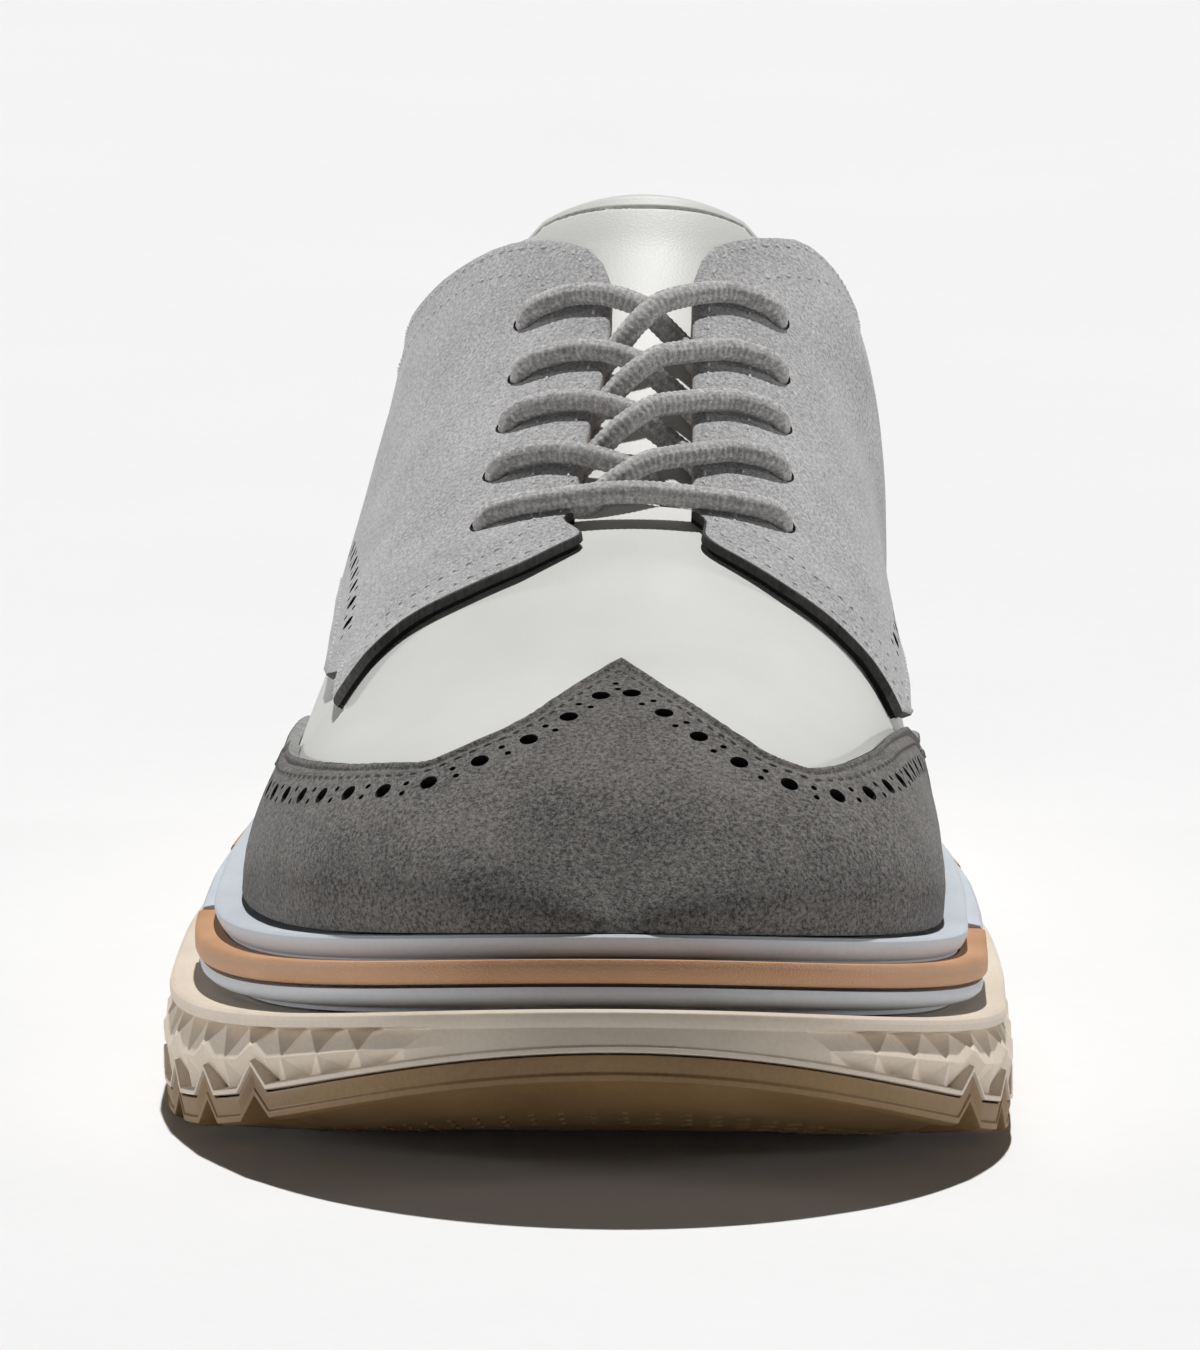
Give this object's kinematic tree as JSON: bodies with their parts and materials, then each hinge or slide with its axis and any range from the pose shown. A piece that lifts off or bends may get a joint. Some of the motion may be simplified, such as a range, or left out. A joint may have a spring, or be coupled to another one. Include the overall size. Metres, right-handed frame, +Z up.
{
  "type": "wingtip derby shoe",
  "caption": "Low laced right shoe with a winged suede toe cap, suede quarters over a pale leather vamp, and a layered foam and rubber sole with a lugged edge.",
  "frame": {"origin": "on the floor under the middle of the shoe's overall box", "axes": "+X towards the medial side, +Y from toe to heel, +Z up"},
  "size_m": [0.1172, 0.3078, 0.1136],
  "materials": {
    "gum_rubber": "matt brown gum rubber",
    "cream_rubber": "matt moulded rubber",
    "blue_foam": "smooth moulded foam",
    "tan_leather": "smooth cut leather",
    "footbed_fabric": "woven",
    "pale_leather": "smooth, low gloss",
    "dark_suede": "suede nap",
    "grey_suede": "suede nap",
    "grey_cord": "waxed braid"
  },
  "bodies": {
    "root": {"outsole": "gum_rubber", "sidewall": "cream_rubber", "midsole": "blue_foam", "welt_front": "tan_leather", "welt_rear": "tan_leather", "insole": "footbed_fabric", "upper": "pale_leather", "wing_cap": "dark_suede", "quarter_lateral": "grey_suede", "quarter_medial": "grey_suede", "tongue": "pale_leather", "lace_bar": "grey_cord", "lace_cross_1": "grey_cord", "lace_cross_2": "grey_cord", "lace_cross_3": "grey_cord", "lace_cross_4": "grey_cord"}
  },
  "joints": []
}
